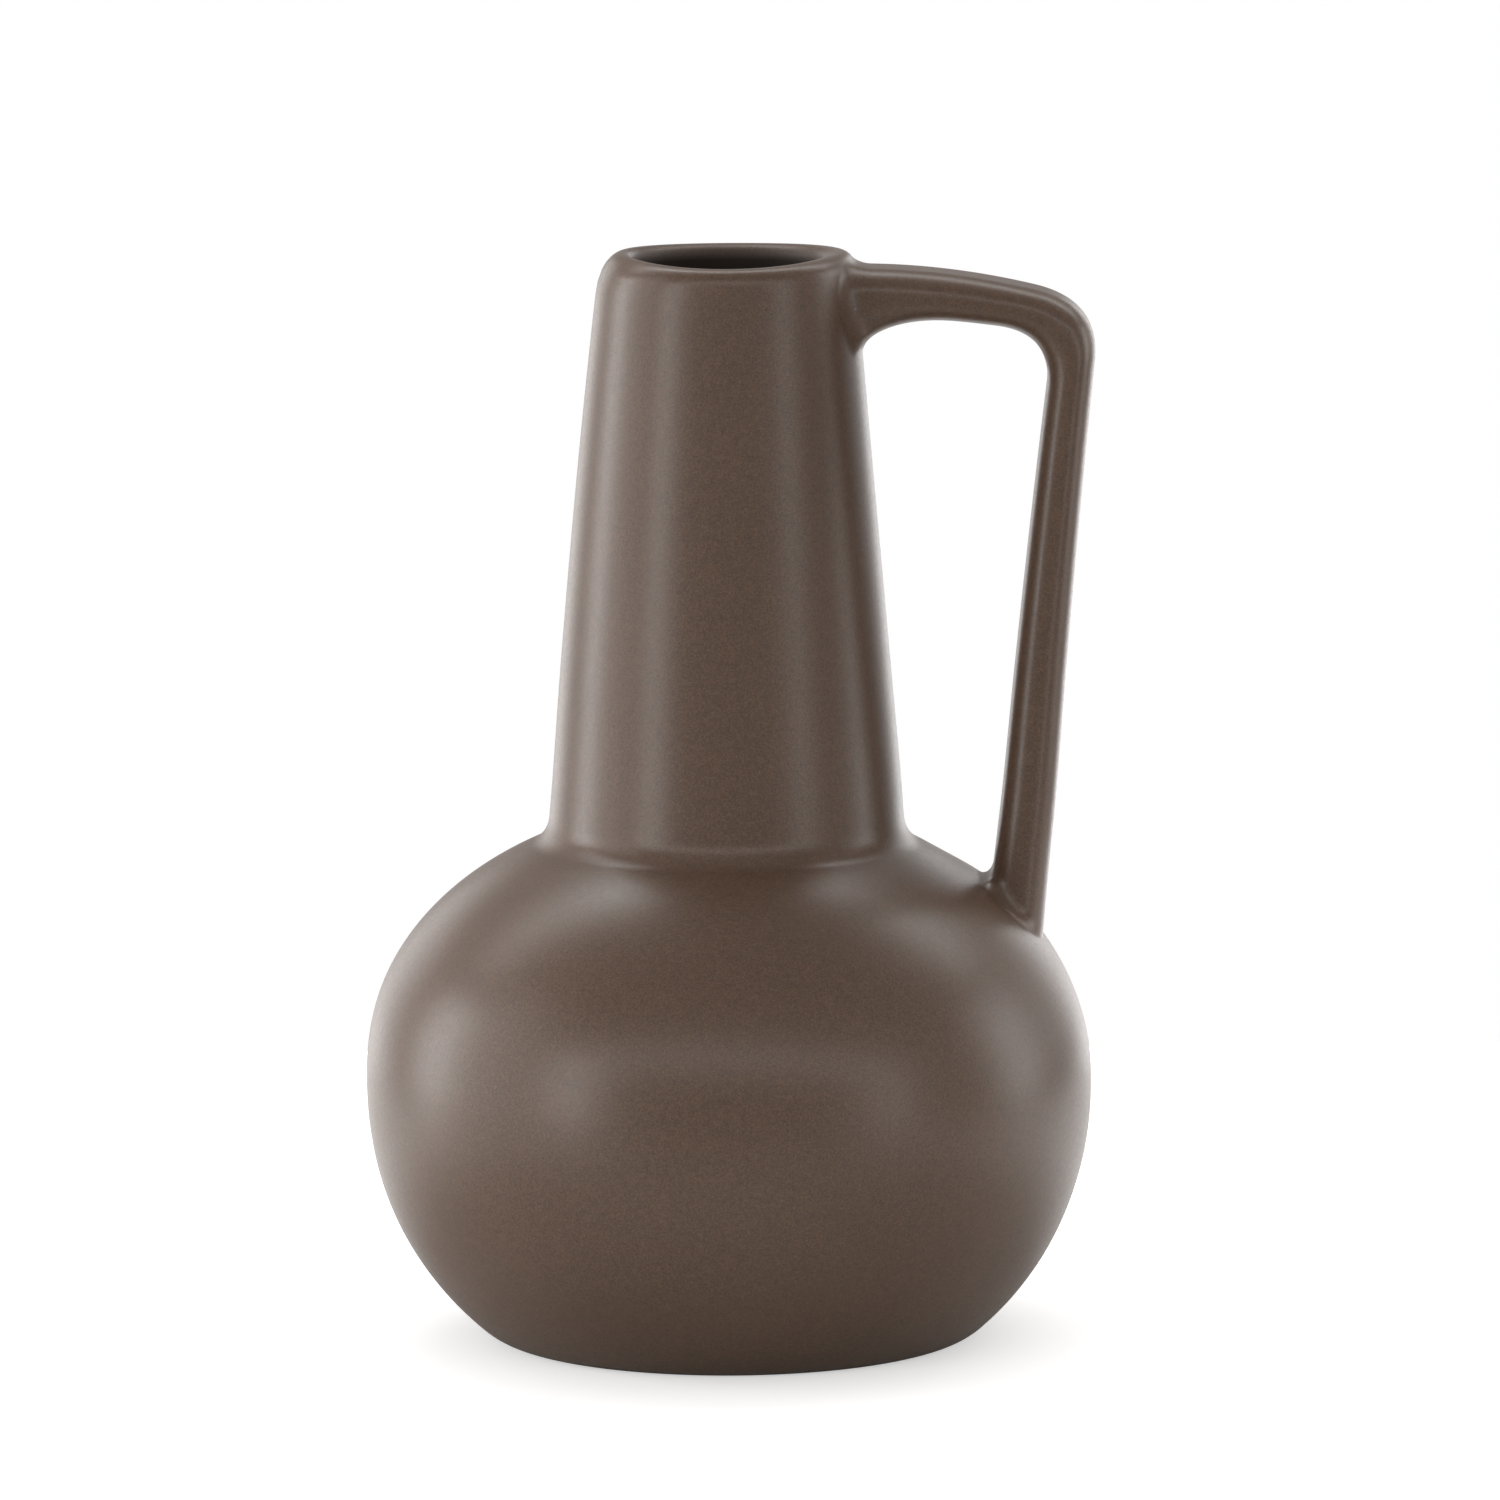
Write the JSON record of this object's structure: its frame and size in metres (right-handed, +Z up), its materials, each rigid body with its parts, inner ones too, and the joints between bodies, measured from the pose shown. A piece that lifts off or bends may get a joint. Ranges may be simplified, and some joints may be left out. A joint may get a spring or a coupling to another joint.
{
  "type": "vase",
  "caption": "Stoneware vase with a round belly, a long tapered neck with a thick round lip, and a flat strap handle from neck to shoulder, in matte brown glaze.",
  "frame": {"origin": "on the vase's axis, at the centre of the flat face that it stands on", "axes": "+Z up along the vase's axis, +X towards the handle"},
  "size_m": [0.2009, 0.2, 0.2998],
  "materials": {
    "belly_glaze": "satin matte brown glaze on stoneware",
    "neck_glaze": "satin matte brown glaze on stoneware",
    "handle_glaze": "satin matte brown glaze on stoneware",
    "joint_glaze": "satin matte brown glaze over joining clay"
  },
  "bodies": {
    "root": {"belly": "belly_glaze", "neck": "neck_glaze", "handle": "handle_glaze", "neck_luting": "joint_glaze", "upper_luting": "joint_glaze", "lower_luting": "joint_glaze"}
  },
  "joints": []
}
